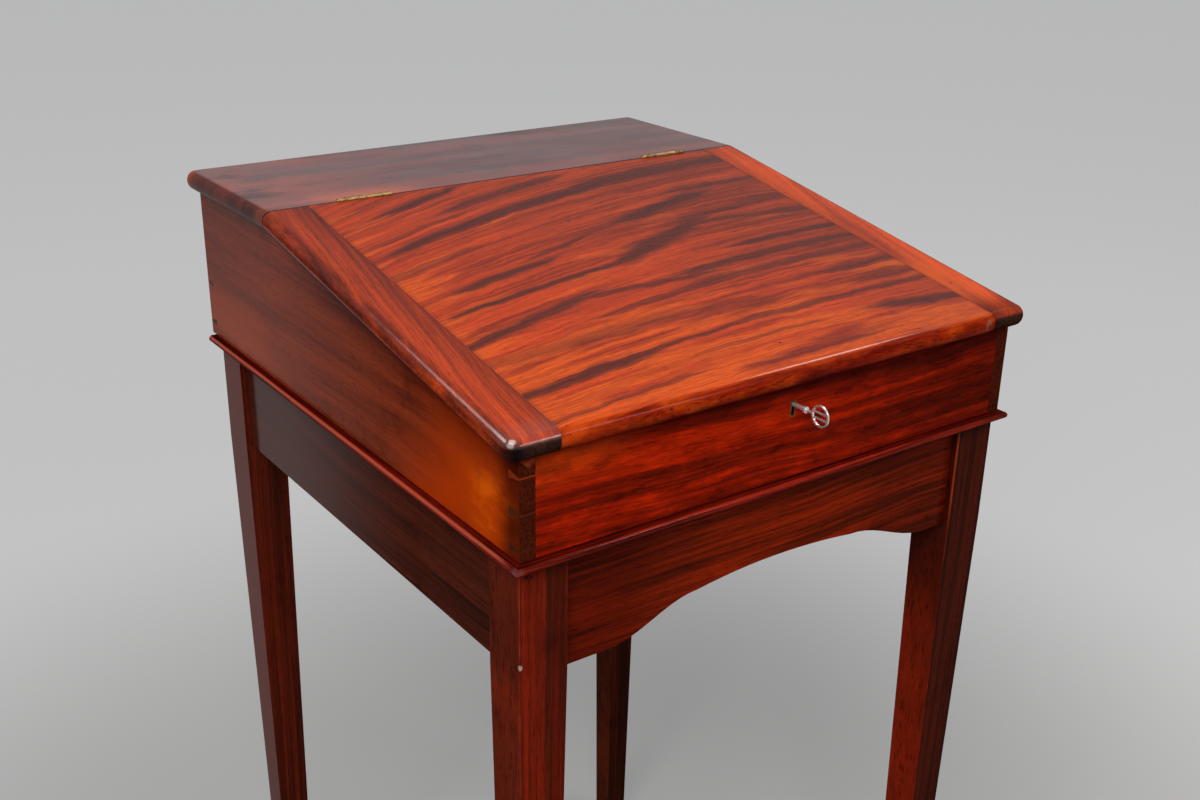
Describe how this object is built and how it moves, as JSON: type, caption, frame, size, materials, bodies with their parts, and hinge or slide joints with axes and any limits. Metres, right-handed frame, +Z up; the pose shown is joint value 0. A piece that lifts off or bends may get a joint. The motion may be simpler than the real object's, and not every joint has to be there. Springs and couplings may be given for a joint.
{
  "type": "standing desk",
  "caption": "Slant-lid standing desk: a dovetailed box with a hinged, locking writing lid and a flat top, on a stand of tapered legs with an arched front apron.",
  "frame": {"origin": "on the floor, under the middle of the desk's bounding box", "axes": "+Z up, +X to the right as seen from the front, +Y to the back; the front of the desk faces -Y"},
  "size_m": [0.632, 0.7312, 1.1431],
  "materials": {
    "lid_wood": "varnished",
    "top_wood": "varnished",
    "box_wood": "varnished",
    "stand_wood": "varnished",
    "inner_wood": "bare",
    "brass": "aged, satin",
    "steel": "bright, worn"
  },
  "bodies": {
    "desk": {"top_board": "top_wood", "left_side": "box_wood", "right_side": "box_wood", "front_board": "box_wood", "back_board": "box_wood", "leg_front_left": "stand_wood", "leg_front_right": "stand_wood", "leg_back_left": "stand_wood", "leg_back_right": "stand_wood", "front_apron": "stand_wood", "back_apron": "stand_wood", "left_apron": "stand_wood", "right_apron": "stand_wood", "bead_front": "stand_wood", "bead_left": "stand_wood", "bead_right": "stand_wood", "back_strip": "stand_wood", "bottom_board": "inner_wood", "glue_blocks": "inner_wood", "hinge_fixed_leaf_left": "brass", "hinge_fixed_leaf_right": "brass", "hinge_fixed_screws": "brass", "lock_case": "brass", "lock_cap": "brass", "lock_screws": "brass", "keyhole_liner": "brass", "box_screws": "steel", "hinge_pin_left": "steel", "hinge_pin_right": "steel", "bolt_spring": "steel", "drill_pin": "steel"},
    "lid": {"lid_panel": "lid_wood", "lid_clamp_left": "lid_wood", "lid_clamp_right": "lid_wood", "hinge_lid_leaf_left": "brass", "hinge_lid_leaf_right": "brass", "hinge_lid_screws": "brass", "link_plate": "brass", "link_screws": "brass"},
    "key": {"key": "steel"},
    "lock_bolt": {"lock_bolt": "brass"}
  },
  "joints": [
    {"name": "lid_hinge", "type": "hinge", "parent": "desk", "child": "lid", "pos_m": [0, 0.1416, 1.1405], "axis": [-1, 0, 0], "range_deg": [0, 190]},
    {"name": "key_turn", "type": "hinge", "parent": "desk", "child": "key", "pos_m": [0, -0.3194, 1.0171], "axis": [0, 1, 0], "range_deg": [0, 360]},
    {"name": "bolt_slide", "type": "slide", "parent": "desk", "child": "lock_bolt", "axis": [1, 0, 0], "range_m": [0, 0.006]}
  ],
  "couplings": [
    {"joint": "bolt_slide", "follows": "key_turn", "m_per_rad": 0.0009549}
  ]
}
